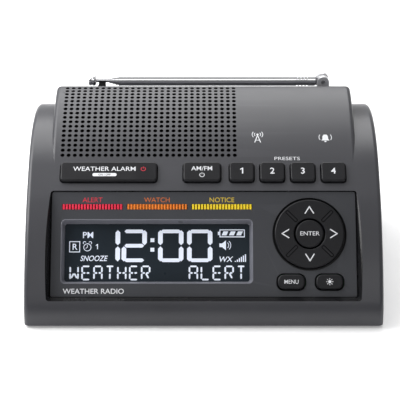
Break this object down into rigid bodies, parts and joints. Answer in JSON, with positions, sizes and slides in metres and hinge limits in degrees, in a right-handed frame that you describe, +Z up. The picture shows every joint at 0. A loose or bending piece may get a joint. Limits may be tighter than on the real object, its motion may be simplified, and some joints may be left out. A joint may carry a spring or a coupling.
{
  "type": "emergency radio",
  "caption": "Desk-top weather alert clock radio with display, alert lights, spring-back keys, rocking direction pad, speaker grille, battery door and folding telescopic antenna.",
  "frame": {"origin": "on the table, under the middle of the cabinet's outline", "axes": "+X to the user's right, +Y to the back, +Z up; the display faces -Y and up"},
  "size_m": [0.19, 0.1352, 0.0893],
  "materials": {
    "case": "fine satin texture",
    "base": "satin",
    "panel": "satin",
    "keys": "satin",
    "foot_rubber": "matt",
    "key_rubber": "matt",
    "window": "clear, gloss",
    "lcd": "gloss",
    "diffuser": "satin",
    "red_lens": "frosted, ribbed",
    "orange_lens": "frosted, ribbed",
    "yellow_lens": "frosted, ribbed",
    "board": "solder mask",
    "chips": "moulded",
    "steel": "plated",
    "magnet": "matt",
    "cone": "coated paper",
    "cloth": "open weave",
    "ferrite": "matt",
    "copper": "enamelled wire",
    "natural_plastic": "moulded",
    "gold": "plated",
    "cell": null,
    "chrome": "polished",
    "lead": "insulated wire"
  },
  "bodies": {
    "cabinet": {"upper_housing": "case", "speaker_grille": "case", "lower_housing": "base", "rubber_feet": "foot_rubber", "case_screws": "steel", "front_fascia": "panel", "display_window": "window", "lcd_panel": "lcd", "lcd_backlight": "diffuser", "lcd_holder": "keys", "red_light_bar": "red_lens", "orange_light_bar": "orange_lens", "yellow_light_bar": "yellow_lens", "alert_leds": "natural_plastic", "front_key_mat": "key_rubber", "front_board": "board", "top_key_mat": "key_rubber", "top_key_board": "board", "speaker_basket": "steel", "speaker_cone": "cone", "speaker_magnet": "magnet", "speaker_cloth": "cloth", "speaker_screws": "steel", "main_board": "board", "board_components": "chips", "tuner_shield": "steel", "ferrite_rod": "ferrite", "ferrite_coil": "copper", "ferrite_holders": "natural_plastic", "jack_board": "board", "dc_jack": "chips", "aerial_socket": "gold", "alert_jack": "chips", "battery_cells": "cell", "battery_springs": "steel", "battery_contacts": "steel", "antenna_rest": "keys", "speaker_leads": "lead", "aerial_lead": "lead", "ribbon_cable": "natural_plastic"},
    "battery_door": {"battery_door": "base"},
    "weather_button": {"weather_button": "keys"},
    "radio_button": {"radio_button": "keys"},
    "preset_button_1": {"preset_button_1": "keys"},
    "preset_button_2": {"preset_button_2": "keys"},
    "preset_button_3": {"preset_button_3": "keys"},
    "preset_button_4": {"preset_button_4": "keys"},
    "menu_button": {"menu_button": "keys"},
    "light_button": {"light_button": "keys"},
    "enter_button": {"enter_button": "keys"},
    "direction_pad": {"direction_pad": "keys"},
    "pad_rocker": {"pad_rocker": "key_rubber"},
    "antenna_swivel": {"antenna_swivel": "chrome", "antenna_pivot_pin": "chrome"},
    "antenna_tube_1": {"antenna_tube_1": "chrome"},
    "antenna_tube_2": {"antenna_tube_2": "chrome"},
    "antenna_tube_3": {"antenna_tube_3": "chrome"},
    "antenna_tube_4": {"antenna_tube_4": "chrome"},
    "antenna_rod": {"antenna_rod": "chrome"}
  },
  "joints": [
    {"name": "weather_press", "type": "slide", "parent": "cabinet", "child": "weather_button", "axis": [0, 0.5165, -0.8563], "range_m": [0, 0.0008], "stiffness_N_per_m": 500, "springref_m": -0.001},
    {"name": "radio_press", "type": "slide", "parent": "cabinet", "child": "radio_button", "axis": [0, 0.5165, -0.8563], "range_m": [0, 0.0008], "stiffness_N_per_m": 500, "springref_m": -0.001},
    {"name": "preset_1_press", "type": "slide", "parent": "cabinet", "child": "preset_button_1", "axis": [0, 0.5165, -0.8563], "range_m": [0, 0.0008], "stiffness_N_per_m": 500, "springref_m": -0.001},
    {"name": "preset_2_press", "type": "slide", "parent": "cabinet", "child": "preset_button_2", "axis": [0, 0.5165, -0.8563], "range_m": [0, 0.0008], "stiffness_N_per_m": 500, "springref_m": -0.001},
    {"name": "preset_3_press", "type": "slide", "parent": "cabinet", "child": "preset_button_3", "axis": [0, 0.5165, -0.8563], "range_m": [0, 0.0008], "stiffness_N_per_m": 500, "springref_m": -0.001},
    {"name": "preset_4_press", "type": "slide", "parent": "cabinet", "child": "preset_button_4", "axis": [0, 0.5165, -0.8563], "range_m": [0, 0.0008], "stiffness_N_per_m": 500, "springref_m": -0.001},
    {"name": "menu_press", "type": "slide", "parent": "cabinet", "child": "menu_button", "axis": [0, 0.766, -0.6428], "range_m": [0, 0.0008], "stiffness_N_per_m": 500, "springref_m": -0.001},
    {"name": "light_press", "type": "slide", "parent": "cabinet", "child": "light_button", "axis": [0, 0.766, -0.6428], "range_m": [0, 0.0008], "stiffness_N_per_m": 500, "springref_m": -0.001},
    {"name": "enter_press", "type": "slide", "parent": "cabinet", "child": "enter_button", "axis": [0, 0.766, -0.6428], "range_m": [0, 0.0008], "stiffness_N_per_m": 500, "springref_m": -0.001},
    {"name": "pad_up_down", "type": "hinge", "parent": "cabinet", "child": "pad_rocker", "pos_m": [0.0564, -0.03368, 0.03691], "axis": [1, 0, 0], "range_deg": [-1.5, 1.5], "stiffness_Nm_per_rad": 0.4},
    {"name": "pad_left_right", "type": "hinge", "parent": "pad_rocker", "child": "direction_pad", "pos_m": [0.0564, -0.03368, 0.03691], "axis": [0, 0.6428, 0.766], "range_deg": [-1.5, 1.5], "stiffness_Nm_per_rad": 0.4},
    {"name": "battery_door_hinge", "type": "hinge", "parent": "cabinet", "child": "battery_door", "pos_m": [0.034, 0.0193, 0.0026], "axis": [1, 0, 0], "range_deg": [0, 95]},
    {"name": "antenna_swivel_turn", "type": "hinge", "parent": "cabinet", "child": "antenna_swivel", "pos_m": [0.0684, 0.0616, 0.077], "axis": [0, 0, -1], "range_deg": [0, 180]},
    {"name": "antenna_tilt", "type": "hinge", "parent": "antenna_swivel", "child": "antenna_tube_1", "pos_m": [0.0684, 0.0616, 0.0859], "axis": [0, 1, 0], "range_deg": [0, 90]},
    {"name": "antenna_tube_2_slide", "type": "slide", "parent": "antenna_tube_1", "child": "antenna_tube_2", "axis": [-1, 0, 0], "range_m": [0, 0.09]},
    {"name": "antenna_tube_3_slide", "type": "slide", "parent": "antenna_tube_2", "child": "antenna_tube_3", "axis": [-1, 0, 0], "range_m": [0, 0.09]},
    {"name": "antenna_tube_4_slide", "type": "slide", "parent": "antenna_tube_3", "child": "antenna_tube_4", "axis": [-1, 0, 0], "range_m": [0, 0.09]},
    {"name": "antenna_rod_slide", "type": "slide", "parent": "antenna_tube_4", "child": "antenna_rod", "axis": [-1, 0, 0], "range_m": [0, 0.09]}
  ]
}
